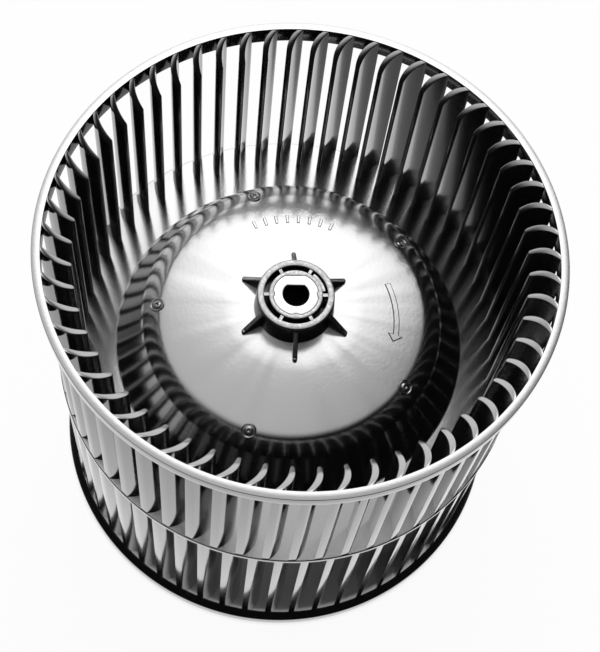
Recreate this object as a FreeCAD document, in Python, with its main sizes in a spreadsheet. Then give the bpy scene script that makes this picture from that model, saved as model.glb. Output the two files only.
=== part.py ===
"""Double-inlet fan impeller: two cages of forward-curved blades on a domed web, with a D-bore insert.

Millimetres. The shaft axis is Z and the lower end ring rests on z = 0. The flat of the bore faces +Y.
"""
import FreeCAD, Part
import math
import os
import Sketcher

SIZES = (
    ("drum_height", 138.0, "overall height, end ring to end ring"),
    ("ring_outer_radius", 76.0, "outside of both end rings"),
    ("ring_wall", 2.5, "radial thickness of an end ring"),
    ("ring_height", 6.0, "height of an end ring at its inner face"),
    ("ring_rim_height", 3.9, "height of an end ring at its outer face"),
    ("blade_count", 58, "blades in each cage"),
    ("blade_depth", 8.4, "radial depth of a blade inside the ring"),
    ("blade_embed", 0.2, "how far a blade's outer edge runs into the ring"),
    ("blade_edge_width", 2.0, "width of a blade's outer edge"),
    ("blade_back_radius", 7.9, "radius of the convex side of a blade"),
    ("blade_face_radius", 10.95, "radius of the concave side of a blade"),
    ("blade_nose_width", 1.2, "width of a blade's inner edge"),
    ("blade_sweep", 3.5, "sideways offset of the inner edge from the outer one"),
    ("blade_end_step", 0.15, "how far a blade's end stays below the ring's face"),
    ("blade_end_drop", 4.9, "how far a blade's end falls towards its inner edge"),
    ("disc_top_height", 72.0, "upper face of the middle disc"),
    ("disc_thickness", 2.0, "middle disc"),
    ("disc_lip", 0.5, "how far the middle disc's edge stands outside the inner face of the rings"),
    ("cone_foot_radius", 55.5, "where the cone rises from the disc"),
    ("cone_angle", 63.0, "slope of the cone, degrees from level"),
    ("shoulder_radius", 9.0, "rounding between cone and crown"),
    ("crown_height", 94.4, "where the shallow crown meets the hub"),
    ("crown_angle", 4.1, "fall of the crown, degrees from level"),
    ("web_wall", 1.7, "thickness of cone, shoulder and crown"),
    ("hub_top_height", 103.0, "upper end of the hub"),
    ("hub_bottom_height", 79.0, "lower end of the hub"),
    ("hub_waist_radius", 12.5, "hub where it leaves the crown"),
    ("hub_top_radius", 11.9, "hub at its upper end"),
    ("hub_foot_radius", 11.9, "hub at its lower end"),
    ("slot_inner_radius", 8.3, "inner wall of the hub's coring slots"),
    ("slot_outer_radius", 9.8, "outer wall of the hub's coring slots"),
    ("slot_depth", 15.0, "depth of the coring slots"),
    ("bridge_count", 6, "bridges across the slots, and gussets between them"),
    ("bridge_width", 1.1, "width of a bridge"),
    ("bridge_drop", 0.3, "how far a bridge lies below the hub's face"),
    ("pad_width", 0.9, "thickening of the inner tube in one slot"),
    ("pad_angle", 44.0, "span of that thickening, degrees"),
    ("gusset_reach", 18.7, "radius at which a gusset ends"),
    ("gusset_thickness", 1.5, "gusset"),
    ("gusset_nose", 0.5, "height of the blunt outer end of a gusset"),
    ("gusset_top_drop", 2.0, "how far a gusset starts below the hub's face"),
    ("insert_radius", 7.0, "metal insert"),
    ("insert_chord", 6.25, "distance from the axis to the insert's outer flat"),
    ("key_radius", 1.6, "radius of the plastic keys in the insert's flutes"),
    ("key_depth", 0.5, "depth of the flutes"),
    ("key_shoulder", 7.4, "outer side of the plastic behind the insert's flat"),
    ("bore_radius", 4.0, "shaft bore"),
    ("bore_flat", 3.0, "distance from the axis to the flat of the bore"),
)

doc = FreeCAD.newDocument("impeller")
sheet = doc.addObject("Spreadsheet::Sheet", "sizes")


class Size:
    """A length or angle that keeps its number together with the sheet expression it comes from."""

    def __init__(self, value, text):
        self.value = value
        self.text = text

    def joined(self, sign, other, value):
        text = other.text if isinstance(other, Size) else str(other)
        return Size(value, f"({self.text} {sign} {text})")

    def __add__(self, other):
        return self.joined("+", other, self.value + number(other))

    def __sub__(self, other):
        return self.joined("-", other, self.value - number(other))

    def __mul__(self, other):
        return self.joined("*", other, self.value * number(other))

    def __truediv__(self, other):
        return self.joined("/", other, self.value / number(other))

    def __neg__(self):
        return Size(-self.value, f"(-{self.text})")


def number(value):
    """The plain number of a Size or of a number."""
    return value.value if isinstance(value, Size) else float(value)


def from_sheet(alias):
    """The driving dimension of that name."""
    return Size(float(getattr(sheet, alias)), f"{sheet.Name}.{alias}")


def fill_sheet():
    """Write each driving dimension and what it is, one to a row."""
    for row, (alias, value, meaning) in enumerate(SIZES, start=1):
        sheet.set(f"A{row}", meaning)
        sheet.set(f"B{row}", str(value))
        sheet.setAlias(f"B{row}", alias)
    doc.recompute()
    return {alias: from_sheet(alias) for alias, value, meaning in SIZES}


def point(x, y):
    return FreeCAD.Vector(number(x), number(y), 0)


def new_body(label):
    body = doc.addObject("PartDesign::Body", label)
    body.Label = label
    return body


def new_sketch(body, name, plane, height=None, turn=None):
    """A sketch on one of the body's own planes, raised along its normal and turned about the shaft axis."""
    sketch = body.newObject("Sketcher::SketchObject", name)
    role = next(item for item in body.Origin.OriginFeatures if item.Role == plane)
    sketch.AttachmentSupport = [(role, "")]
    sketch.MapMode = "FlatFace"
    if height is not None:
        sketch.setExpression("AttachmentOffset.Base.z", height.text)
    if turn is not None:
        shaft = FreeCAD.Vector(0, 0, 1) if plane == "XY_Plane" else FreeCAD.Vector(0, 1, 0)
        rotation = FreeCAD.Rotation(shaft, turn.value)
        sketch.AttachmentOffset = FreeCAD.Placement(FreeCAD.Vector(), rotation)
        sketch.setExpression("AttachmentOffset.Rotation.Angle", turn.text)
    return sketch


def hold(sketch, kind, *picks, size=None):
    """Add a constraint, and bind it to the sheet where it has a size."""
    if size is None:
        return sketch.addConstraint(Sketcher.Constraint(kind, *picks))
    index = sketch.addConstraint(Sketcher.Constraint(kind, *picks, number(size)))
    sketch.setExpression(f"Constraints[{index}]", size.text)
    return index


def place(sketch, edge, end, x, y):
    """Fix one end of an edge, or a centre, at its coordinates; zero means on the axis."""
    for value, kind, axis in ((x, "DistanceX", -2), (y, "DistanceY", -1)):
        if isinstance(value, Size):
            hold(sketch, kind, -1, 1, edge, end, size=value)
        else:
            hold(sketch, "PointOnObject", edge, end, axis)


def add_outline(sketch, corners):
    """A closed outline of straight sides through the corners."""
    points = [point(x, y) for x, y in corners]
    sides = [
        sketch.addGeometry(Part.LineSegment(start, end), False)
        for start, end in zip(points, points[1:] + points[:1])
    ]
    for side, after in zip(sides, sides[1:] + sides[:1]):
        hold(sketch, "Coincident", side, 2, after, 1)
    for side, (x, y) in zip(sides, corners):
        place(sketch, side, 1, x, y)


def add_circle(sketch, radius, x=0, y=0):
    """A circle about a point."""
    circle = sketch.addGeometry(Part.Circle(point(x, y), FreeCAD.Vector(0, 0, 1), radius.value), False)
    if isinstance(x, Size) or isinstance(y, Size):
        place(sketch, circle, 3, x, y)
    else:
        hold(sketch, "Coincident", circle, 3, -1, 1)
    hold(sketch, "Radius", circle, size=radius)


def turned(body, kind, name, sketch):
    """Turn a sketch about the shaft axis, as a solid or as a cut."""
    feature = body.newObject(f"PartDesign::{kind}", name)
    feature.Profile = sketch
    feature.ReferenceAxis = (sketch, ["V_Axis"])
    feature.Angle = 360
    feature.Refine = False
    doc.recompute()
    return feature


def pushed(body, kind, name, sketch, length, reverse=False):
    """Push a sketch along its normal, as a Pad or a Pocket."""
    feature = body.newObject(f"PartDesign::{kind}", name)
    feature.Profile = sketch
    feature.setExpression("Length", length.text)
    feature.Reversed = reverse
    feature.Refine = False
    doc.recompute()
    return feature


def repeated(body, name, features, count):
    """Repeat features evenly round the shaft axis."""
    pattern = body.newObject("PartDesign::PolarPattern", name)
    pattern.Originals = features
    axis = next(item for item in body.Origin.OriginFeatures if item.Role == "Z_Axis")
    pattern.Axis = (axis, [""])
    pattern.Angle = 360
    pattern.setExpression("Occurrences", count.text)
    pattern.Refine = False
    body.Tip = pattern
    doc.recompute()
    return pattern


def meeting_point(centre_a, radius_a, centre_b, radius_b, side):
    """Where two circles meet: side +1 lies left of the way from centre_a to centre_b, -1 right of it."""
    span = centre_b - centre_a
    along = (radius_a ** 2 - radius_b ** 2 + span.Length ** 2) / (2 * span.Length)
    across = math.sqrt(radius_a ** 2 - along ** 2)
    unit = FreeCAD.Vector(span).normalize()
    left = FreeCAD.Vector(-unit.y, unit.x, 0)
    return centre_a + unit * along + left * (side * across)


def arc_between(centre, start, end):
    """The anticlockwise arc about a centre from one point to another."""
    radius = (start - centre).Length
    circle = Part.Circle(centre, FreeCAD.Vector(0, 0, 1), radius)
    first = math.atan2(start.y - centre.y, start.x - centre.x)
    last = math.atan2(end.y - centre.y, end.x - centre.x)
    return Part.ArcOfCircle(circle, first, last if last > first else last + 2 * math.pi)


def draw_blade(sketch, size, ring_inner, outer_radius):
    """Crescent section of a blade: outer edge at +X, hollow side clockwise, narrow inner edge."""
    inner = ring_inner - size["blade_depth"]
    half_edge = size["blade_edge_width"] / 2
    half_nose = size["blade_nose_width"] / 2
    corners = (
        (outer_radius, -half_edge),
        (outer_radius, half_edge),
        (inner, size["blade_sweep"] + half_nose),
        (inner, size["blade_sweep"] - half_nose),
    )
    face_corner, back_corner, back_end, face_end = (point(x, y) for x, y in corners)
    back = size["blade_back_radius"]
    face = size["blade_face_radius"]
    back_centre = meeting_point(back_corner, back.value, back_end, back.value, 1)
    face_centre = meeting_point(face_corner, face.value, face_end, face.value, 1)
    edge = sketch.addGeometry(Part.LineSegment(face_corner, back_corner), False)
    back_arc = sketch.addGeometry(arc_between(back_centre, back_corner, back_end), False)
    nose = sketch.addGeometry(Part.LineSegment(back_end, face_end), False)
    face_arc = sketch.addGeometry(arc_between(face_centre, face_corner, face_end), False)
    hold(sketch, "Coincident", edge, 2, back_arc, 1)
    hold(sketch, "Coincident", back_arc, 2, nose, 1)
    hold(sketch, "Coincident", nose, 2, face_arc, 2)
    hold(sketch, "Coincident", face_arc, 1, edge, 1)
    for edge_index, end, (x, y) in zip((edge, edge, nose, nose), (1, 2, 1, 2), corners):
        place(sketch, edge_index, end, x, y)
    hold(sketch, "Radius", back_arc, size=back)
    hold(sketch, "Radius", face_arc, size=face)


def add_cage(body, size, name, away, turn):
    """One cage of blades between the middle disc and its end ring.

    away is +1 for the upper cage and -1 for the lower one. The end of each blade slopes from the ring's
    face towards the disc.
    """
    ring_outer = size["ring_outer_radius"]
    ring_inner = ring_outer - size["ring_wall"]
    outer_radius = ring_inner + size["blade_embed"]
    disc_middle = size["disc_top_height"] - size["disc_thickness"] / 2
    face = size["drum_height"] if away > 0 else Size(0.0, "0")
    blade_top = face - size["blade_end_step"] * away

    section = new_sketch(body, f"{name}_blade_section", "XY_Plane", disc_middle, turn)
    draw_blade(section, size, ring_inner, outer_radius)
    length = (blade_top - disc_middle) * away
    blade = pushed(body, "Pad", f"{name}_blade", section, length, reverse=away < 0)

    overrun = 1.25
    cut_inner = outer_radius - size["blade_depth"] * overrun
    slope = new_sketch(body, f"{name}_blade_end_profile", "XZ_Plane", turn=turn)
    add_outline(slope, (
        (cut_inner, blade_top - size["blade_end_drop"] * (away * overrun)),
        (outer_radius, blade_top),
        (outer_radius, blade_top + size["blade_end_drop"] * away),
        (cut_inner, blade_top + size["blade_end_drop"] * away),
    ))
    nose_side = size["blade_sweep"] + size["blade_nose_width"]
    end = pushed(body, "Pocket", f"{name}_blade_end", slope, nose_side)
    end.SideType = "Two sides"
    end.setExpression("Length2", size["blade_edge_width"].text)
    doc.recompute()
    repeated(body, f"{name}_blades", [blade, end], size["blade_count"])

    ring = new_sketch(body, f"{name}_ring_profile", "XZ_Plane")
    add_outline(ring, (
        (ring_inner, face - size["ring_height"] * away),
        (ring_outer, face - size["ring_rim_height"] * away),
        (ring_outer, face),
        (ring_inner, face),
    ))
    turned(body, "Revolution", f"{name}_ring", ring)


def draw_web(sketch, size):
    """Half section of disc, cone, shoulder and crown, with a bevelled corner under the shoulder."""
    disc_top = size["disc_top_height"]
    disc_bottom = disc_top - size["disc_thickness"]
    edge = size["ring_outer_radius"] - size["ring_wall"] + size["disc_lip"]
    wall = size["web_wall"]
    inner = size["insert_radius"] / 2
    fall = size["crown_angle"]
    rise = Size(math.tan(math.radians(fall.value)), f"tan({fall.text} * 1 deg)")
    inner_height = size["crown_height"] + (size["hub_waist_radius"] - inner) * rise

    cone_lean = math.radians(size["cone_angle"].value)
    crown_lean = math.radians(fall.value)
    bevel_lean = (cone_lean + crown_lean) / 2
    foot = point(size["cone_foot_radius"], disc_top)
    inner_top = point(inner, inner_height)

    def uphill(lean):
        return FreeCAD.Vector(-math.cos(lean), math.sin(lean), 0)

    def inward(lean):
        return FreeCAD.Vector(-math.sin(lean), -math.cos(lean), 0)

    def crossing(first, first_lean, second, second_lean):
        """Where a line through each point, at its own lean, meets the other."""
        normal = inward(second_lean)
        reach = (second - first).dot(normal) / uphill(first_lean).dot(normal)
        return first + uphill(first_lean) * reach

    # The shoulder touches cone and crown; the underside touches a circle one wall smaller.
    rounding = size["shoulder_radius"].value
    clear = rounding - wall.value
    shoulder = crossing(foot + inward(cone_lean) * rounding, cone_lean,
                        inner_top + inward(crown_lean) * rounding, crown_lean)
    cone_top = shoulder - inward(cone_lean) * rounding
    crown_end = shoulder - inward(crown_lean) * rounding
    under = {lean: shoulder - inward(lean) * clear for lean in (cone_lean, bevel_lean, crown_lean)}
    cone_top_under = crossing(under[cone_lean], cone_lean, under[bevel_lean], bevel_lean)
    crown_end_under = crossing(under[crown_lean], crown_lean, under[bevel_lean], bevel_lean)
    foot_under = crossing(point(edge, disc_bottom), 0, under[cone_lean], cone_lean)
    inner_under = crossing(inner_top, math.pi / 2, under[crown_lean], crown_lean)

    def line(start, end):
        return sketch.addGeometry(Part.LineSegment(start, end), False)

    crown = line(crown_end, inner_top)
    bend = sketch.addGeometry(arc_between(shoulder, cone_top, crown_end), False)
    cone = line(cone_top, foot)
    upper = line(foot, point(edge, disc_top))
    rim = line(point(edge, disc_top), point(edge, disc_bottom))
    lower = line(point(edge, disc_bottom), foot_under)
    cone_under = line(foot_under, cone_top_under)
    bevel_under = line(cone_top_under, crown_end_under)
    crown_under = line(crown_end_under, inner_under)
    inside = line(inner_under, inner_top)
    wall_guide = sketch.addGeometry(Part.Circle(shoulder, FreeCAD.Vector(0, 0, 1), clear), True)

    hold(sketch, "Coincident", inside, 2, crown, 2)
    hold(sketch, "Tangent", crown, 1, bend, 2)
    hold(sketch, "Tangent", bend, 1, cone, 1)
    hold(sketch, "Coincident", cone, 2, upper, 1)
    hold(sketch, "Coincident", upper, 2, rim, 1)
    hold(sketch, "Coincident", rim, 2, lower, 1)
    hold(sketch, "Coincident", lower, 2, cone_under, 1)
    hold(sketch, "Coincident", cone_under, 2, bevel_under, 1)
    hold(sketch, "Coincident", bevel_under, 2, crown_under, 1)
    hold(sketch, "Coincident", crown_under, 2, inside, 1)
    place(sketch, inside, 2, inner, inner_height)
    hold(sketch, "Vertical", inside)
    hold(sketch, "Angle", crown, size=Size(math.pi - crown_lean, f"180 deg - {fall.text} * 1 deg"))
    hold(sketch, "Radius", bend, size=size["shoulder_radius"])
    place(sketch, cone, 2, size["cone_foot_radius"], disc_top)
    hold(sketch, "Angle", cone, size=Size(-cone_lean, f"-{size['cone_angle'].text} * 1 deg"))
    place(sketch, rim, 1, edge, disc_top)
    place(sketch, rim, 2, edge, disc_bottom)
    hold(sketch, "Horizontal", lower)
    hold(sketch, "Coincident", wall_guide, 3, bend, 3)
    hold(sketch, "Radius", wall_guide, size=size["shoulder_radius"] - wall)
    hold(sketch, "Parallel", cone, cone_under)
    hold(sketch, "Parallel", crown, crown_under)
    for side in (cone_under, bevel_under, crown_under):
        hold(sketch, "Tangent", side, wall_guide)
    bevel_text = f"180 deg - ({size['cone_angle'].text} + {fall.text}) / 2 * 1 deg"
    hold(sketch, "Angle", bevel_under, size=Size(math.pi - bevel_lean, bevel_text))


def draw_sector(sketch, inner_radius, outer_radius, span):
    """A piece of a ring, symmetric about +X."""
    half = math.radians(span.value) / 2

    def corner(radius, angle):
        return point(radius.value * math.cos(angle), radius.value * math.sin(angle))

    def arc_at(radius):
        arc = arc_between(point(0, 0), corner(radius, -half), corner(radius, half))
        return sketch.addGeometry(arc, False)

    outer = arc_at(outer_radius)
    inner = arc_at(inner_radius)
    for angle, end in ((-half, 1), (half, 2)):
        ends = corner(inner_radius, angle), corner(outer_radius, angle)
        side = sketch.addGeometry(Part.LineSegment(*ends), False)
        hold(sketch, "Coincident", side, 1, inner, end)
        hold(sketch, "Coincident", side, 2, outer, end)
        hold(sketch, "PointOnObject", -1, 1, side)
        sign = "-" if angle < 0 else ""
        hold(sketch, "Angle", side, size=Size(angle, f"{sign}{span.text} / 2 * 1 deg"))
    for arc, radius in ((outer, outer_radius), (inner, inner_radius)):
        hold(sketch, "Coincident", arc, 3, -1, 1)
        hold(sketch, "Radius", arc, size=radius)


def draw_bore(sketch, size):
    """The D-shaped bore, its flat towards +Y."""
    flat = size["bore_flat"]
    half = math.sqrt(size["bore_radius"].value ** 2 - flat.value ** 2)
    left = point(-half, flat)
    right = point(half, flat)
    round_side = sketch.addGeometry(arc_between(point(0, 0), left, right), False)
    flat_side = sketch.addGeometry(Part.LineSegment(right, left), False)
    hold(sketch, "Coincident", round_side, 3, -1, 1)
    hold(sketch, "Coincident", round_side, 2, flat_side, 1)
    hold(sketch, "Coincident", flat_side, 2, round_side, 1)
    hold(sketch, "Horizontal", flat_side)
    hold(sketch, "DistanceY", -1, 1, flat_side, 1, size=flat)
    hold(sketch, "Radius", round_side, size=size["bore_radius"])


def draw_keys(sketch, size):
    """The plastic that holds the insert from turning: three round keys and one flat."""
    key_centre = size["insert_radius"] - size["key_depth"] + size["key_radius"]
    add_circle(sketch, size["key_radius"], x=key_centre)
    add_circle(sketch, size["key_radius"], x=-key_centre)
    add_circle(sketch, size["key_radius"], y=-key_centre)
    chord = size["insert_chord"]
    half = Size(math.sqrt(size["insert_radius"].value ** 2 - chord.value ** 2),
                f"sqrt({size['insert_radius'].text} ^ 2 - {chord.text} ^ 2)") + size["key_depth"] / 2
    add_outline(sketch, (
        (-half, chord),
        (half, chord),
        (half, size["key_shoulder"]),
        (-half, size["key_shoulder"]),
    ))


def add_web(body, size):
    """Disc, cone, shoulder and crown."""
    profile = new_sketch(body, "web_profile", "XZ_Plane")
    draw_web(profile, size)
    turned(body, "Revolution", "web", profile)


def add_hub(body, size):
    """The hub, tapered both ways from where it leaves the crown."""
    profile = new_sketch(body, "hub_profile", "XZ_Plane")
    add_outline(profile, (
        (0, size["hub_bottom_height"]),
        (size["hub_foot_radius"], size["hub_bottom_height"]),
        (size["hub_waist_radius"], size["crown_height"]),
        (size["hub_top_radius"], size["hub_top_height"]),
        (0, size["hub_top_height"]),
    ))
    turned(body, "Revolution", "hub", profile)


def add_gussets(body, size):
    """Three-cornered gussets between the hub and the crown, half way between the bridges."""
    half_step = Size(180.0, "180") / size["bridge_count"]
    inside = (size["slot_outer_radius"] + size["hub_top_radius"]) / 2
    foot = size["crown_height"] - size["web_wall"] / 2
    top = size["hub_top_height"] - size["gusset_top_drop"]
    profile = new_sketch(body, "gusset_profile", "XZ_Plane", turn=half_step)
    add_outline(profile, (
        (inside, foot),
        (size["gusset_reach"], foot),
        (size["gusset_reach"], size["crown_height"] + size["gusset_nose"]),
        (size["hub_top_radius"], top),
        (inside, top),
    ))
    rib = pushed(body, "Pad", "gusset", profile, size["gusset_thickness"])
    rib.Midplane = True
    doc.recompute()
    repeated(body, "gussets", [rib], size["bridge_count"])


def add_insert_seat(body, size):
    """The hole that the insert fills, with the keys that enter its flutes."""
    hub_length = size["hub_top_height"] - size["hub_bottom_height"]
    seat = new_sketch(body, "insert_seat_outline", "XY_Plane", size["hub_top_height"])
    add_circle(seat, size["insert_radius"])
    pushed(body, "Pocket", "insert_seat", seat, hub_length)
    keys = new_sketch(body, "insert_key_outline", "XY_Plane", size["hub_bottom_height"])
    draw_keys(keys, size)
    pushed(body, "Pad", "insert_keys", keys, hub_length)


def add_slots(body, size):
    """The coring slots of the hub, the bridges across them, and the thick stretch in one of them."""
    outline = new_sketch(body, "slot_outline", "XY_Plane", size["hub_top_height"])
    add_circle(outline, size["slot_inner_radius"])
    add_circle(outline, size["slot_outer_radius"])
    pushed(body, "Pocket", "slots", outline, size["slot_depth"])

    floor = size["hub_top_height"] - size["slot_depth"]
    filled = size["slot_depth"] - size["bridge_drop"]
    grip = size["bridge_width"] / 4
    half_width = size["bridge_width"] / 2
    bridge = new_sketch(body, "bridge_outline", "XY_Plane", floor)
    add_outline(bridge, (
        (size["slot_inner_radius"] - grip, -half_width),
        (size["slot_outer_radius"] + grip, -half_width),
        (size["slot_outer_radius"] + grip, half_width),
        (size["slot_inner_radius"] - grip, half_width),
    ))
    first = pushed(body, "Pad", "bridge", bridge, filled)
    repeated(body, "bridges", [first], size["bridge_count"])

    half_step = Size(180.0, "180") / size["bridge_count"]
    stretch = new_sketch(body, "slot_pad_outline", "XY_Plane", floor, half_step)
    draw_sector(stretch, size["slot_inner_radius"] - grip, size["slot_inner_radius"] + size["pad_width"],
                size["pad_angle"])
    pushed(body, "Pad", "slot_pad", stretch, filled)


def build_moulding(size):
    """The single plastic moulding: web, hub, both cages of blades and both end rings."""
    body = new_body("impeller_moulding")
    add_web(body, size)
    add_hub(body, size)
    add_gussets(body, size)
    add_insert_seat(body, size)
    add_slots(body, size)
    half_pitch = Size(180.0, "180") / size["blade_count"]
    add_cage(body, size, "upper", 1, half_pitch)
    add_cage(body, size, "lower", -1, None)
    return body


def build_insert(size):
    """The metal insert: fluted outside, D-shaped bore."""
    body = new_body("hub_insert")
    length = size["hub_top_height"] - size["hub_bottom_height"]
    blank = new_sketch(body, "blank_outline", "XY_Plane", size["hub_bottom_height"])
    add_circle(blank, size["insert_radius"])
    pushed(body, "Pad", "blank", blank, length)
    flutes = new_sketch(body, "flute_outline", "XY_Plane", size["hub_top_height"])
    draw_keys(flutes, size)
    pushed(body, "Pocket", "flutes", flutes, length)
    bore = new_sketch(body, "bore_outline", "XY_Plane", size["hub_top_height"])
    draw_bore(bore, size)
    pushed(body, "Pocket", "bore", bore, length)
    return body


def check_document():
    """Stop with a plain message if anything in the document has failed."""
    failed = [item.Name for item in doc.Objects if {"Invalid", "Error"} & set(item.State)]
    if failed:
        raise RuntimeError(f"failed features: {failed}")


def export(bodies):
    """Write each sub-part to its own file, once all of them are sound."""
    for body in bodies:
        shape = body.Shape
        if shape.isNull() or not shape.isValid() or not shape.Solids:
            raise RuntimeError(f"{body.Label} has no valid shape")
    os.makedirs("parts", exist_ok=True)
    for body in bodies:
        body.Shape.exportStep(f"parts/{body.Label}.step")
        print(f"{body.Label}: {len(body.Shape.Solids)} solid, {body.Shape.Volume:.0f} mm3")


size = fill_sheet()
bodies = [build_moulding(size), build_insert(size)]
doc.recompute()
check_document()
export(bodies)
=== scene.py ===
import math

import bpy
from mathutils import Matrix, Vector


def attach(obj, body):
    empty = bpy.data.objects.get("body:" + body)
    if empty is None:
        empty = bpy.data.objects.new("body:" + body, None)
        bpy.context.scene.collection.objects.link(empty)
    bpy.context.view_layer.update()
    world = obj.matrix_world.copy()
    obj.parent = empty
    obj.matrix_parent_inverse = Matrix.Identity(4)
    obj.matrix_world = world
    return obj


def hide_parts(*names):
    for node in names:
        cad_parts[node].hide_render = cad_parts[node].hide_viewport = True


# Sizes of the wheel in millimetres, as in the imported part.
HEIGHT = 138.0
RING_OUTER = 76.0
RING_INNER = 73.5
RING_DEPTH = 6.0
RING_RIM = 3.9
BLADES = 58
BLADE_DEPTH = 8.4
BLADE_EMBED = 0.2
BACK_RADIUS = 7.9
FACE_RADIUS = 10.95
SWEEP = 3.5
END_DROP = 4.9
DISC_TOP = 72.0
DISC_BOTTOM = 70.0
DISC_RADIUS = 74.0
CONE_FOOT = 55.5
CONE_SLOPE = math.radians(63.0)
SHOULDER = 9.0
WALL = 1.7
HUB_TOP = 103.0
HUB_BOTTOM = 79.0
HUB_WAIST = 12.5
HUB_END = 11.9
SLOT_INNER = 8.3
SLOT_OUTER = 9.8
SLOT_FLOOR = 88.0
BRIDGES = 6
BRIDGE_WIDTH = 1.1
BRIDGE_DROP = 0.3
PAD_WIDTH = 0.9
PAD_SPAN = math.radians(44)
GUSSET_REACH = 18.7
GUSSET_WIDTH = 1.5
GUSSET_NOSE = 0.5
GUSSET_DROP = 2.0
INSERT_RADIUS = 7.0
INSERT_CHORD = 6.25
FLUTE_RADIUS = 1.6
FLUTE_DEPTH = 0.5
BORE_RADIUS = 4.0
BORE_FLAT = 3.0

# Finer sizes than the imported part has, in millimetres.
NOSE_RADIUS = 0.72
EDGE_AT_DISC = 2.2
EDGE_AT_RING = 1.9
END_STEP = 0.25
END_CROWN = 0.45
END_SOFT = 0.22
CROWN_TOP = 94.6
CROWN_RADIUS = 370.0
CROWN_INSIDE = 6.9
RING_SOFT = 0.15
RIM_SOFT = 0.3
DISC_SOFT = 0.35
FOOT_FILLET = 1.0
BLOCK_SOFT = 0.12
SUNK = 0.5
GRIP = 0.2
INSERT_GAP = 0.04
GUSSET_FOOT = 93.0
GUSSET_SOFT = 0.3

# Five injection gates on the shoulder: each has a dimpled stub, a groove and a lip of flash.
GATES = 5
GATE_CIRCLE = 42.4
GATE_ANGLE = math.radians(35)
GATE_PROFILE = (
    (0.15, 0.12), (0.35, 0.2), (0.6, 0.5), (0.8, 0.52), (1.1, 0.4), (1.4, 0.2),
    (1.5, 0.02), (1.75, 0.0), (1.9, 0.16), (2.05, 0.2), (2.2, 0.12), (2.35, -0.1),
)
GATE_SIDES = 20

# Marks on the crown: radii in millimetres, angles in degrees.
ARROW_START = (31.0, 17.0)
ARROW_END = (32.7, -15.0)
ARROW_HALF_WIDTH = 0.95
ARROW_HEAD = [(30.1, -15.2), (32.5, -20.0), (35.1, -15.6)]
TICKS = 8
TICK_MIDDLE = 90
TICK_SPAN = 52
TICK_HALF_WIDTH = 0.9
TICK_RADII = (30.2, 33.2)

# How finely round forms are divided.
TURNED_STEPS = 288
TUBE_STEPS = 360
SHARP_ANGLE = math.radians(40)

# Lights of the world: azimuth, elevation, full within, gone beyond (all in degrees) and strength.
SOFT_LIGHT = (82.0, 53.5, 4.0, 22.0, 3.7)
SOFT_SKIRT = (118.0, 70.0, 2.0, 42.0, 1.75)
LOW_WALL = (85.0, 8.0, 40.0, 80.0, 2.0)
LOW_WALL_TOP = (0.75, 0.45)
ROOM_LIGHT = 0.01

# The floor sheet in metres, its height, and the edge of the shade under the wheel.
FLOOR_SIDES = (-0.3, 0.3)
FLOOR_FRONT_BACK = (-0.18, 0.6)
FLOOR_LEVEL = -0.0002
FLOOR_WHITE_SHARE = 0.95
FLOOR_SHADE_EDGE = (0.071, 0.077)

# The camera: frame and focal length in pixels, where its axis meets the frame, and its place in metres.
FRAME_WIDTH = 600
FRAME_HEIGHT = 652
FOCAL_LENGTH = 1356.45
AXIS_X = 321.01
AXIS_Y = 248.18
SENSOR = 36.0
CAMERA_PLACE = (-0.02698, -0.18203, 0.47388)
CAMERA_FORWARD = (0.0828, 0.4695, -0.8791)
CAMERA_RIGHT = (0.9963, -0.0196, 0.0834)

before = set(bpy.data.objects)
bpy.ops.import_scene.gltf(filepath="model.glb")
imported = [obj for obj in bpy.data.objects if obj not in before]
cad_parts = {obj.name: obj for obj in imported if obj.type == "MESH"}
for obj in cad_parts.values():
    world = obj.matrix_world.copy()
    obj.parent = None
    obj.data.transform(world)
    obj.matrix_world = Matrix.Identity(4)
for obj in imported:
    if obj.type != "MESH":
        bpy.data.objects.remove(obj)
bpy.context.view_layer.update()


class Mesh:
    """Points in millimetres and the faces between them."""

    def __init__(self):
        self.points = []
        self.faces = []

    def add(self, point):
        self.points.append(tuple(point))
        return len(self.points) - 1

    def ring(self, points):
        return [self.add(point) for point in points]

    def strip(self, first, second, closed=True):
        """Quads between two rows of points."""
        count = len(first) if closed else len(first) - 1
        for i in range(count):
            j = (i + 1) % len(first)
            self.faces.append((first[i], first[j], second[j], second[i]))

    def cap(self, row):
        self.faces.append(tuple(row))

    def object(self, name):
        data = bpy.data.meshes.new(name)
        data.from_pydata([[c / 1000 for c in p] for p in self.points], [], self.faces)
        data.validate()
        data.polygons.foreach_set("use_smooth", [True] * len(data.polygons))
        data.set_sharp_from_angle(angle=SHARP_ANGLE)
        piece = bpy.data.objects.new(name, data)
        bpy.context.scene.collection.objects.link(piece)
        return piece


def polar(radius, angle, z=0.0):
    return (radius * math.cos(angle), radius * math.sin(angle), z)


def spun(count):
    """Even turns about the axis, in radians."""
    return [2 * math.pi * k / count for k in range(count)]


def rounded(corners, steps=4):
    """A closed outline with rounded corners: each corner is (x, y, rounding)."""
    path = []
    count = len(corners)
    for i, (x, y, size) in enumerate(corners):
        here = Vector((x, y))
        before = Vector(corners[i - 1][:2])
        after = Vector(corners[(i + 1) % count][:2])
        if size <= 0:
            path.append(here)
            continue
        a = (before - here).normalized()
        b = (after - here).normalized()
        half = a.angle(b) / 2
        reach = size / math.tan(half)
        centre = here + (a + b).normalized() * (size / math.sin(half))
        start = here + a * reach - centre
        turn = start.angle_signed(here + b * reach - centre)
        for k in range(steps + 1):
            path.append(centre + Matrix.Rotation(-turn * k / steps, 2) @ start)
    return path


def lathe(mesh, profile):
    """Turn a closed profile of (radius, height), which runs with its inside on its left, about the axis."""
    rows = [mesh.ring(polar(x, angle, y) for x, y in profile) for angle in spun(TURNED_STEPS)]
    for row, after in zip(rows, rows[1:] + rows[:1]):
        mesh.strip(row, after)


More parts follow.
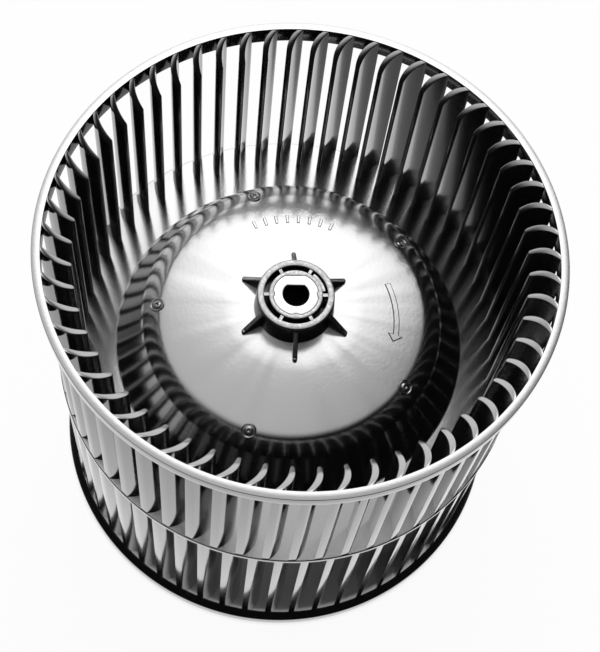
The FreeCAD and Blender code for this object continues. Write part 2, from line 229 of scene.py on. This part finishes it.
def arc(centre, radius, first, last, steps):
    """Points of an arc, angles in radians."""
    angles = [first + (last - first) * k / steps for k in range(steps + 1)]
    return [Vector((centre[0] + radius * math.cos(a), centre[1] + radius * math.sin(a))) for a in angles]


def meeting(a, radius_a, b, radius_b):
    """Where two circles meet, left of the way from a to b."""
    span = b - a
    along = (radius_a ** 2 - radius_b ** 2 + span.length_squared) / (2 * span.length)
    across = math.sqrt(radius_a ** 2 - along ** 2)
    unit = span.normalized()
    return a + unit * along + Vector((-unit.y, unit.x)) * across


def bearing(centre, point):
    return math.atan2(point.y - centre.y, point.x - centre.x)


def blade_section(edge_width, steps=14):
    """The two sides of a blade from its outer edge to the middle of its nose."""
    outer = RING_INNER + BLADE_EMBED
    back_corner = Vector((outer, edge_width / 2))
    face_corner = Vector((outer, -edge_width / 2))
    nose = Vector((RING_INNER - BLADE_DEPTH + NOSE_RADIUS, SWEEP))
    back_centre = meeting(back_corner, BACK_RADIUS, nose, BACK_RADIUS - NOSE_RADIUS)
    face_centre = meeting(face_corner, FACE_RADIUS, nose, FACE_RADIUS + NOSE_RADIUS)
    back_end = bearing(back_centre, nose)
    face_end = bearing(face_centre, nose)
    back = arc(back_centre, BACK_RADIUS, bearing(back_centre, back_corner), back_end, steps)
    face = arc(face_centre, FACE_RADIUS, bearing(face_centre, face_corner), face_end, steps)
    nose_end = face_end + math.pi
    if nose_end < back_end:
        nose_end += 2 * math.pi
    tip = arc(nose, NOSE_RADIUS, back_end, nose_end, 8)
    return back + tip[1:4], tip[4], face + list(reversed(tip[5:-1]))


def blade_end(radius):
    """How far below the ring's face a blade ends at that radius: it falls inwards and is slightly crowned."""
    share = min(1.0, max(0.0, (RING_INNER - radius) / BLADE_DEPTH))
    lift = 4 * END_CROWN * share * (1 - share) * math.hypot(1, END_DROP / BLADE_DEPTH)
    return END_STEP + END_DROP * share - lift


def add_blade(mesh, turn, away):
    """A blade from inside the disc to its ring, +1 up or -1 down; the edges of its end are rounded."""
    start = (DISC_TOP + DISC_BOTTOM) / 2
    face_height = HEIGHT if away > 0 else 0.0
    spin = Matrix.Rotation(turn, 2)

    def outline(edge_width, inset):
        back, tip, face = blade_section(edge_width)
        loop = back + [tip] + list(reversed(face))
        moved = []
        for i, here in enumerate(loop):
            along = (loop[(i + 1) % len(loop)] - loop[i - 1]).normalized()
            inward = Vector((-along.y, along.x))
            moved.append(here + inward * inset)
        return moved

    def row(edge_width, inset, drop=None):
        """The outline at the disc, or at the end where a drop below it is given."""
        made = []
        for here in outline(edge_width, inset):
            z = start if drop is None else face_height - away * (blade_end(here.length) + drop)
            made.append((*(spin @ here), z))
        return mesh.ring(made)

    rows = [row(EDGE_AT_DISC, 0.0)]
    for angle in (0, 30, 60, 90):
        bend = math.radians(angle)
        rows.append(row(EDGE_AT_RING, END_SOFT * (1 - math.cos(bend)), END_SOFT * (1 - math.sin(bend))))
    for low, high in zip(rows, rows[1:]):
        if away > 0:
            mesh.strip(low, high)
        else:
            mesh.strip(high, low)
    top = rows[-1]
    count = len(top)
    for i in range(count // 2):
        corners = tuple(dict.fromkeys((top[i], top[i + 1], top[count - 2 - i], top[count - 1 - i])))
        if len(corners) > 2:
            mesh.cap(corners if away > 0 else corners[::-1])


def add_cages(mesh):
    """Both cages of blades, set half a pitch apart."""
    pitch = 2 * math.pi / BLADES
    for k in range(BLADES):
        add_blade(mesh, (k + 0.5) * pitch, 1)
        add_blade(mesh, k * pitch, -1)


def add_rings(mesh):
    """Both end rings, with the side towards the blades sloped."""
    upper = rounded([
        (RING_INNER, HEIGHT - RING_DEPTH, RING_SOFT),
        (RING_OUTER, HEIGHT - RING_RIM, RIM_SOFT),
        (RING_OUTER, HEIGHT, RING_SOFT),
        (RING_INNER, HEIGHT, RING_SOFT),
    ])
    lathe(mesh, upper)
    lathe(mesh, [(x, HEIGHT - y) for x, y in reversed(upper)])


def cone_directions():
    """Up along the cone, and at right angles to it into the wall."""
    uphill = Vector((-math.cos(CONE_SLOPE), math.sin(CONE_SLOPE)))
    inward = Vector((-math.sin(CONE_SLOPE), -math.cos(CONE_SLOPE)))
    return uphill, inward


def crown_middle():
    """The centre of the crown's arc, on the axis."""
    return Vector((0, CROWN_TOP - CROWN_RADIUS))


def shoulder_middle():
    """The centre of the rounding that touches the cone and the crown."""
    uphill, inward = cone_directions()
    base = Vector((CONE_FOOT, DISC_TOP)) + inward * SHOULDER
    along = (base - crown_middle()).dot(uphill)
    off = (base - crown_middle()).length_squared - (CROWN_RADIUS - SHOULDER) ** 2
    return base + uphill * (math.sqrt(along ** 2 - off) - along)


def web_profile():
    """Closed half section of disc, cone, shoulder and crown."""
    uphill, inward = cone_directions()
    crown_centre = crown_middle()
    shoulder = shoulder_middle()
    foot = Vector((CONE_FOOT, DISC_TOP))
    first = math.atan2(-inward.y, -inward.x)
    last = bearing(crown_centre, shoulder)
    inside = math.acos(CROWN_INSIDE / CROWN_RADIUS)
    arm = 8
    fillet = rounded([
        (foot.x + arm, foot.y, 0),
        (foot.x, foot.y, FOOT_FILLET),
        (foot.x + uphill.x * arm, foot.y + uphill.y * arm, 0),
    ], 5)[1:-1]
    under_foot = foot + inward * WALL
    under_foot += uphill * ((DISC_BOTTOM - under_foot.y) / uphill.y)
    rim = rounded([
        (under_foot.x, under_foot.y, 0),
        (DISC_RADIUS, DISC_BOTTOM, DISC_SOFT),
        (DISC_RADIUS, DISC_TOP, DISC_SOFT),
        (foot.x, foot.y, 0),
    ])[1:-1]
    upper = arc(shoulder, SHOULDER, first, last, 18)
    upper += arc(crown_centre, CROWN_RADIUS, last, inside, 14)[1:]
    under = arc(crown_centre, CROWN_RADIUS - WALL, inside, last, 14)
    under += arc(shoulder, SHOULDER - WALL, last, first, 14)[1:]
    return rim + fillet + upper + under + [under_foot]


def add_web(mesh):
    lathe(mesh, web_profile())


def insert_reach(angle):
    """Distance from the axis to the side of the insert's seat: round, with three flutes and one flat."""
    reach = INSERT_RADIUS
    centre = INSERT_RADIUS - FLUTE_DEPTH + FLUTE_RADIUS
    for flute in (0.0, math.pi, -math.pi / 2):
        off = math.remainder(angle - flute, 2 * math.pi)
        if abs(centre * math.sin(off)) < FLUTE_RADIUS and math.cos(off) > 0:
            near = centre * math.cos(off) - math.sqrt(FLUTE_RADIUS ** 2 - (centre * math.sin(off)) ** 2)
            reach = min(reach, near)
    if math.sin(angle) > 0:
        reach = min(reach, INSERT_CHORD / math.sin(angle))
    return reach


def bore_reach(angle):
    """Distance from the axis to the wall of the D-shaped bore."""
    if math.sin(angle) * BORE_RADIUS > BORE_FLAT:
        return BORE_FLAT / math.sin(angle)
    return BORE_RADIUS


def steady(radius):
    """The same distance from the axis all round."""
    return lambda angle: radius


def add_tube(mesh, inner, outer, low, high, soft_inner, soft_outer, foot=None):
    """A tube with softly rounded upper edges.

    Its inside and outside are distances from the axis by angle, and foot is the outside at its lower end
    where that differs.
    """
    foot = foot or outer
    rows = []
    for angle in spun(TUBE_STEPS):
        profile = rounded([
            (inner(angle), low, 0),
            (foot(angle), low, 0),
            (outer(angle), high, soft_outer),
            (inner(angle), high, soft_inner),
        ], 3)
        rows.append(mesh.ring(polar(x, angle, y) for x, y in profile))
    for row, after in zip(rows, rows[1:] + rows[:1]):
        mesh.strip(row, after)


def add_block(mesh, corners, low, high):
    """An upright block over a flat outline, its upper edge softened."""
    middle = sum((Vector(c) for c in corners), Vector((0, 0))) / len(corners)
    inner = [Vector(c) + (middle - Vector(c)).normalized() * BLOCK_SOFT for c in corners]
    rows = [
        mesh.ring((*c, low) for c in corners),
        mesh.ring((*c, high - BLOCK_SOFT) for c in corners),
        mesh.ring((*c, high) for c in inner),
    ]
    for row, after in zip(rows, rows[1:]):
        mesh.strip(row, after)
    mesh.cap(rows[-1])


def add_hub(mesh):
    """Outer collar, inner tube round the insert, slots, bridges and the thick stretch of the inner tube."""
    slot_outer = steady(SLOT_OUTER)
    add_tube(mesh, slot_outer, steady(HUB_END), CROWN_TOP - SUNK, HUB_TOP, 0.25, 0.4, steady(HUB_WAIST))
    add_tube(mesh, slot_outer, steady(HUB_WAIST), HUB_BOTTOM, CROWN_TOP, 0.1, 0.1, steady(HUB_END))
    add_tube(mesh, insert_reach, steady(SLOT_INNER), HUB_BOTTOM, HUB_TOP, 0.1, 0.25)
    add_tube(mesh, steady(SLOT_INNER - 0.3), steady(SLOT_OUTER + 0.3), HUB_BOTTOM, SLOT_FLOOR, 0.05, 0.05)
    low = SLOT_FLOOR - SUNK
    high = HUB_TOP - BRIDGE_DROP
    half = BRIDGE_WIDTH / 2
    bridge = [
        (SLOT_INNER - GRIP, -half),
        (SLOT_OUTER + GRIP, -half),
        (SLOT_OUTER + GRIP, half),
        (SLOT_INNER - GRIP, half),
    ]
    for angle in spun(BRIDGES):
        spin = Matrix.Rotation(angle, 2)
        add_block(mesh, [spin @ Vector(c) for c in bridge], low, high)
    pad_start = math.pi / BRIDGES - PAD_SPAN / 2
    pad_end = math.pi / BRIDGES + PAD_SPAN / 2
    outer = arc((0, 0), SLOT_INNER + PAD_WIDTH, pad_start, pad_end, 20)
    inner = arc((0, 0), SLOT_INNER - GRIP, pad_end, pad_start, 20)
    add_block(mesh, outer + inner, low, high)


def gusset_sections():
    """Sections of a gusset from the collar outwards: distance from the axis, and points (y, z)."""
    half = GUSSET_WIDTH / 2
    start_top = HUB_TOP - GUSSET_DROP
    nose_start_top = CROWN_TOP + GUSSET_NOSE + 0.25
    slope_start = HUB_END + 0.1
    slope_length = GUSSET_REACH - half - slope_start
    stations = [(SLOT_OUTER + 0.8, half, start_top, GUSSET_SOFT), (slope_start, half, start_top, GUSSET_SOFT)]
    for k in range(1, 9):
        share = k / 8
        top = start_top + (nose_start_top - start_top) * share
        stations.append((slope_start + slope_length * share, half, top, GUSSET_SOFT))
    for step in range(1, 7):
        bend = math.radians(15 * step)
        width = half * math.cos(bend) + 0.02
        top = nose_start_top - 0.5 * (1 - math.cos(bend))
        reach = GUSSET_REACH - half + half * math.sin(bend)
        stations.append((reach, width, top, min(GUSSET_SOFT, width * 0.5)))
    for reach, width, top, soft in stations:
        yield reach, rounded([
            (-width, GUSSET_FOOT, 0),
            (width, GUSSET_FOOT, 0),
            (width, top, soft),
            (-width, top, soft),
        ], 3)


def add_gussets(mesh):
    """Six upright ribs that fall from the collar to the crown, with rounded outer ends."""
    sections = list(gusset_sections())
    for angle in spun(BRIDGES):
        spin = Matrix.Rotation(angle + math.pi / BRIDGES, 2)
        rows = [mesh.ring((*(spin @ Vector((x, y))), z) for y, z in section) for x, section in sections]
        for row, after in zip(rows, rows[1:]):
            mesh.strip(row, after)
        mesh.cap(rows[-1])


def crown_height(radius):
    return CROWN_TOP - CROWN_RADIUS + math.sqrt(CROWN_RADIUS ** 2 - radius ** 2)


def add_relief(mesh, corners, height, slope):
    """A low raised mark on the crown: corners are (radius, degrees), its edges are sloped."""
    flat = [Vector(polar(r, math.radians(a))[:2]) for r, a in corners]
    count = len(flat)
    top = []
    for i, here in enumerate(flat):
        before = (here - flat[i - 1]).normalized()
        after = (flat[(i + 1) % count] - here).normalized()
        middle = Vector((-before.y - after.y, before.x + after.x))
        middle /= max(0.4, 0.5 * middle.length_squared)
        top.append(here + middle * slope)
    foot = mesh.ring((p.x, p.y, crown_height(p.length) - 0.1) for p in flat)
    edge = mesh.ring((p.x, p.y, crown_height(p.length)) for p in flat)
    face = mesh.ring((p.x, p.y, crown_height(p.length) + height) for p in top)
    mesh.strip(foot, edge)
    mesh.strip(edge, face)
    return face


def add_arrow(mesh):
    """The turning direction: a curved shaft that ends in a broad head."""
    steps = 12
    shaft = []
    for k in range(steps + 1):
        radius, angle = (a + (b - a) * k / steps for a, b in zip(ARROW_START, ARROW_END))
        shaft.append((radius, angle))
    inner = [(r - ARROW_HALF_WIDTH, a) for r, a in shaft]
    outer = [(r + ARROW_HALF_WIDTH, a) for r, a in shaft]
    face = add_relief(mesh, inner + ARROW_HEAD + outer[::-1], 0.3, 0.28)
    last = len(face) - 1
    for k in range(steps):
        mesh.cap((face[k], face[k + 1], face[last - k - 1], face[last - k]))
    mesh.cap(face[steps:steps + len(ARROW_HEAD) + 2])


def add_ticks(mesh):
    """A row of plain ticks along the back of the crown."""
    near, far = TICK_RADII
    for k in range(TICKS):
        angle = TICK_MIDDLE + TICK_SPAN * (0.5 - (k + 0.5) / TICKS)
        right = angle - TICK_HALF_WIDTH
        left = angle + TICK_HALF_WIDTH
        mesh.cap(add_relief(mesh, [(near, right), (far, right), (far, left), (near, left)], 0.22, 0.2))


def add_gates(mesh):
    """The stub, groove and lip of each gate, square to the shoulder."""
    shoulder = shoulder_middle()
    lean = math.acos((GATE_CIRCLE - shoulder.x) / SHOULDER)
    seat = Vector((GATE_CIRCLE, 0, shoulder.y + SHOULDER * math.sin(lean)))
    tilt = Matrix.Rotation(math.pi / 2 - lean, 4, "Y")
    for turn in spun(GATES):
        place = Matrix.Rotation(GATE_ANGLE + turn, 4, "Z") @ Matrix.Translation(seat) @ tilt
        rows = []
        for angle in spun(GATE_SIDES):
            rows.append(mesh.ring(place @ Vector(polar(r, angle, z)) for r, z in GATE_PROFILE))
        for row, after in zip(rows, rows[1:] + rows[:1]):
            mesh.strip(after, row, False)
        mesh.cap(row[0] for row in rows)


def build_moulding():
    mesh = Mesh()
    add_web(mesh)
    add_hub(mesh)
    add_gussets(mesh)
    add_rings(mesh)
    add_cages(mesh)
    add_gates(mesh)
    add_arrow(mesh)
    add_ticks(mesh)
    return mesh.object("moulding")


def build_insert():
    mesh = Mesh()
    add_tube(mesh, bore_reach, lambda a: insert_reach(a) - INSERT_GAP, HUB_BOTTOM, HUB_TOP, 0.3, 0.15)
    return mesh.object("insert")


class Nodes:
    """Short ways to add and join the nodes of one material or world."""

    def __init__(self, owner):
        owner.use_nodes = True
        self.nodes = owner.node_tree.nodes
        self.links = owner.node_tree.links

    def link(self, output, socket):
        self.links.new(output, socket)

    def math(self, operation, first, second=None):
        """A sum on one or two outputs; the second may be a number."""
        step = self.nodes.new("ShaderNodeMath")
        step.operation = operation
        self.link(first, step.inputs[0])
        if isinstance(second, float):
            step.inputs[1].default_value = second
        elif second is not None:
            self.link(second, step.inputs[1])
        return step.outputs[0]

    def vector(self, operation, source, other=None):
        """An operation on a vector, with a second, fixed one where it needs one."""
        step = self.nodes.new("ShaderNodeVectorMath")
        step.operation = operation
        self.link(source, step.inputs[0])
        if other is not None:
            step.inputs[1].default_value = other
        return step.outputs["Value" if operation in ("LENGTH", "DOT_PRODUCT") else "Vector"]

    def ramp(self, source, low, high, start=0.0, end=1.0, soft=False):
        """From start to end while the source goes from low to high."""
        step = self.nodes.new("ShaderNodeMapRange")
        if soft:
            step.interpolation_type = "SMOOTHSTEP"
        step.inputs["From Min"].default_value = low
        step.inputs["From Max"].default_value = high
        step.inputs["To Min"].default_value = start
        step.inputs["To Max"].default_value = end
        self.link(source, step.inputs["Value"])
        return step.outputs["Result"]

    def noise(self, place, scale, detail=2.0):
        step = self.nodes.new("ShaderNodeTexNoise")
        step.inputs["Scale"].default_value = scale
        step.inputs["Detail"].default_value = detail
        self.link(place, step.inputs["Vector"])
        return step.outputs["Fac"]

    def mix(self, share, first, second):
        step = self.nodes.new("ShaderNodeMixShader")
        self.link(share, step.inputs["Fac"])
        self.link(first, step.inputs[1])
        self.link(second, step.inputs[2])
        return step.outputs["Shader"]

    def split(self, place):
        step = self.nodes.new("ShaderNodeSeparateXYZ")
        self.link(place, step.inputs["Vector"])
        return step.outputs


def flow_lines(tree, place):
    """Soft waves that run out from the hub over the crown, where the plastic flowed together."""
    level = tree.vector("MULTIPLY", place, (1, 1, 0))
    reach = tree.vector("LENGTH", level)
    height = tree.split(place)["Z"]
    waves = tree.noise(tree.vector("NORMALIZE", level), 2.2, 1.6)
    for source, gone, full in ((reach, 0.012, 0.022), (reach, 0.048, 0.04), (height, 0.086, 0.09)):
        waves = tree.math("MULTIPLY", waves, tree.ramp(source, gone, full, soft=True))
    swell = tree.nodes.new("ShaderNodeBump")
    swell.inputs["Distance"].default_value = 0.0006
    tree.link(waves, swell.inputs["Height"])
    return swell.outputs["Normal"]


def hub_face(tree, place, roughness):
    """The roughness, raised and uneven on the spark-eroded end face of the hub."""
    reach = tree.vector("LENGTH", tree.vector("MULTIPLY", place, (1, 1, 0)))
    height = tree.split(place)["Z"]
    extra = tree.ramp(tree.noise(place, 1400.0), 0.35, 0.65, 0.08, 0.36)
    for source, gone, full in ((height, 0.1022, 0.1027), (reach, 0.014, 0.013)):
        extra = tree.math("MULTIPLY", tree.ramp(source, gone, full), extra)
    return tree.math("ADD", roughness, extra)


def plastic_material():
    """Glossy black plastic with a faint grain."""
    material = bpy.data.materials.new("black_plastic")
    tree = Nodes(material)
    shader = tree.nodes["Principled BSDF"]
    shader.inputs["Base Color"].default_value = (0.005, 0.005, 0.0055, 1)
    shader.inputs["IOR"].default_value = 2.6
    shader.inputs["Coat Weight"].default_value = 1.0
    shader.inputs["Coat IOR"].default_value = 1.5
    shader.inputs["Coat Roughness"].default_value = 0.08
    place = tree.nodes.new("ShaderNodeTexCoord").outputs["Object"]
    roughness = tree.ramp(tree.noise(place, 60.0, 4.0), 0.0, 1.0, 0.14, 0.2)
    tree.link(hub_face(tree, place, roughness), shader.inputs["Roughness"])
    bump = tree.nodes.new("ShaderNodeBump")
    bump.inputs["Strength"].default_value = 0.08
    bump.inputs["Distance"].default_value = 0.0002
    tree.link(tree.noise(place, 900.0), bump.inputs["Height"])
    tree.link(flow_lines(tree, place), bump.inputs["Normal"])
    tree.link(bump.outputs["Normal"], shader.inputs["Normal"])
    return material


def metal_material():
    """Bright metal on the insert's ends; painted shade on the wall of its bore and its outer side, which are
    coloured nearly black.
    """
    material = bpy.data.materials.new("insert_metal")
    tree = Nodes(material)
    shader = tree.nodes["Principled BSDF"]
    shader.inputs["Metallic"].default_value = 1.0
    place = tree.nodes.new("ShaderNodeTexCoord").outputs["Object"]
    middle = (HUB_TOP + HUB_BOTTOM) / 2000
    half_length = (HUB_TOP - HUB_BOTTOM) / 2000
    from_middle = tree.math("ABSOLUTE", tree.math("SUBTRACT", tree.split(place)["Z"], middle))
    # Painted shade: all but the last fraction of a millimetre at each end is coloured nearly black so the
    # bore looks shaded; the ends keep the metal's own grey.
    end_tone_and_bore_shade = tree.ramp(from_middle, half_length - 0.0004, half_length - 0.0002, 0.03, 0.55)
    shade = tree.nodes.new("ShaderNodeCombineColor")
    for part in ("Red", "Green", "Blue"):
        tree.link(end_tone_and_bore_shade, shade.inputs[part])
    tree.link(shade.outputs["Color"], shader.inputs["Base Color"])
    tree.link(tree.ramp(tree.noise(place, 1500.0), 0.0, 1.0, 0.32, 0.42), shader.inputs["Roughness"])
    return material


def floor_material():
    """Pale, white to camera and glossy rays but for the shade under the wheel, and clear from below."""
    material = bpy.data.materials.new("floor")
    tree = Nodes(material)
    shader = tree.nodes["Principled BSDF"]
    shader.inputs["Base Color"].default_value = (0.9, 0.9, 0.9, 1)
    shader.inputs["Roughness"].default_value = 0.9
    glow = tree.nodes.new("ShaderNodeEmission")
    glow.inputs["Color"].default_value = (1, 1, 1, 1)
    path = tree.nodes.new("ShaderNodeLightPath")
    place = tree.nodes.new("ShaderNodeTexCoord").outputs["Object"]
    outside = tree.ramp(tree.vector("LENGTH", place), *FLOOR_SHADE_EDGE)
    seen = tree.math("MAXIMUM", path.outputs["Is Camera Ray"], path.outputs["Is Glossy Ray"])
    white = tree.math("MULTIPLY", tree.math("MULTIPLY", seen, FLOOR_WHITE_SHARE), outside)
    pale = tree.mix(white, shader.outputs["BSDF"], glow.outputs["Emission"])
    clear = tree.nodes.new("ShaderNodeBsdfTransparent")
    side = tree.nodes.new("ShaderNodeNewGeometry")
    surface = tree.mix(side.outputs["Backfacing"], pale, clear.outputs["BSDF"])
    tree.link(surface, tree.nodes["Material Output"].inputs["Surface"])
    return material


def add_floor():
    """A finite sheet just under the wheel."""
    left, right = FLOOR_SIDES
    front, back = FLOOR_FRONT_BACK
    corners = [(x, y, FLOOR_LEVEL) for x, y in ((left, front), (right, front), (right, back), (left, back))]
    data = bpy.data.meshes.new("floor")
    data.from_pydata(corners, [], [(0, 1, 2, 3)])
    data.materials.append(floor_material())
    floor = bpy.data.objects.new("floor", data)
    bpy.context.scene.collection.objects.link(floor)


def set_world():
    """A dark studio with soft light above and behind the wheel and a low pale wall at the back."""
    world = bpy.data.worlds.new("studio")
    bpy.context.scene.world = world
    tree = Nodes(world)
    way = tree.nodes.new("ShaderNodeTexCoord").outputs["Generated"]

    def glow(azimuth, elevation, core, wide, strength):
        """A round light in one direction, full within core degrees and gone beyond wide degrees."""
        middle = polar(1, math.radians(azimuth))
        flat = math.cos(math.radians(elevation))
        middle = (middle[0] * flat, middle[1] * flat, math.sin(math.radians(elevation)))
        gone = math.cos(math.radians(wide))
        full = math.cos(math.radians(core))
        return tree.ramp(tree.vector("DOT_PRODUCT", way, middle), gone, full, 0.0, strength, soft=True)

    above = tree.math("ADD", glow(*SOFT_LIGHT), glow(*SOFT_SKIRT))
    wall = tree.math("MULTIPLY", glow(*LOW_WALL), tree.ramp(tree.split(way)["Z"], *LOW_WALL_TOP, soft=True))
    level = tree.math("ADD", tree.math("ADD", above, wall), ROOM_LIGHT)
    light = tree.nodes["Background"]
    light.inputs["Color"].default_value = (1, 1, 1, 1)
    tree.link(level, light.inputs["Strength"])
    seen = tree.nodes.new("ShaderNodeBackground")
    seen.inputs["Color"].default_value = (1, 1, 1, 1)
    path = tree.nodes.new("ShaderNodeLightPath")
    both = tree.mix(path.outputs["Is Camera Ray"], light.outputs["Background"], seen.outputs["Background"])
    tree.link(both, tree.nodes["World Output"].inputs["Surface"])


def add_camera():
    """The photograph's view: from above and in front, slightly turned."""
    forward = Vector(CAMERA_FORWARD).normalized()
    right = Vector(CAMERA_RIGHT)
    right = (right - forward * right.dot(forward)).normalized()
    up = right.cross(forward)
    data = bpy.data.cameras.new("camera")
    data.sensor_width = SENSOR
    data.lens = SENSOR * FOCAL_LENGTH / FRAME_HEIGHT
    data.shift_x = (FRAME_WIDTH / 2 - AXIS_X) / FRAME_HEIGHT
    data.shift_y = -(FRAME_HEIGHT / 2 - AXIS_Y) / FRAME_HEIGHT
    data.clip_start = 0.01
    camera = bpy.data.objects.new("camera", data)
    bpy.context.scene.collection.objects.link(camera)
    basis = Matrix((right, up, -forward)).transposed().to_4x4()
    camera.matrix_world = Matrix.Translation(CAMERA_PLACE) @ basis
    bpy.context.scene.camera = camera


moulding = build_moulding()
moulding.data.materials.append(plastic_material())
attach(moulding, "root")
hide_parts("impeller_moulding")

insert = build_insert()
insert.data.materials.append(metal_material())
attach(insert, "root")
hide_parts("hub_insert")

add_floor()
set_world()
add_camera()
bpy.context.scene.view_settings.view_transform = "Standard"
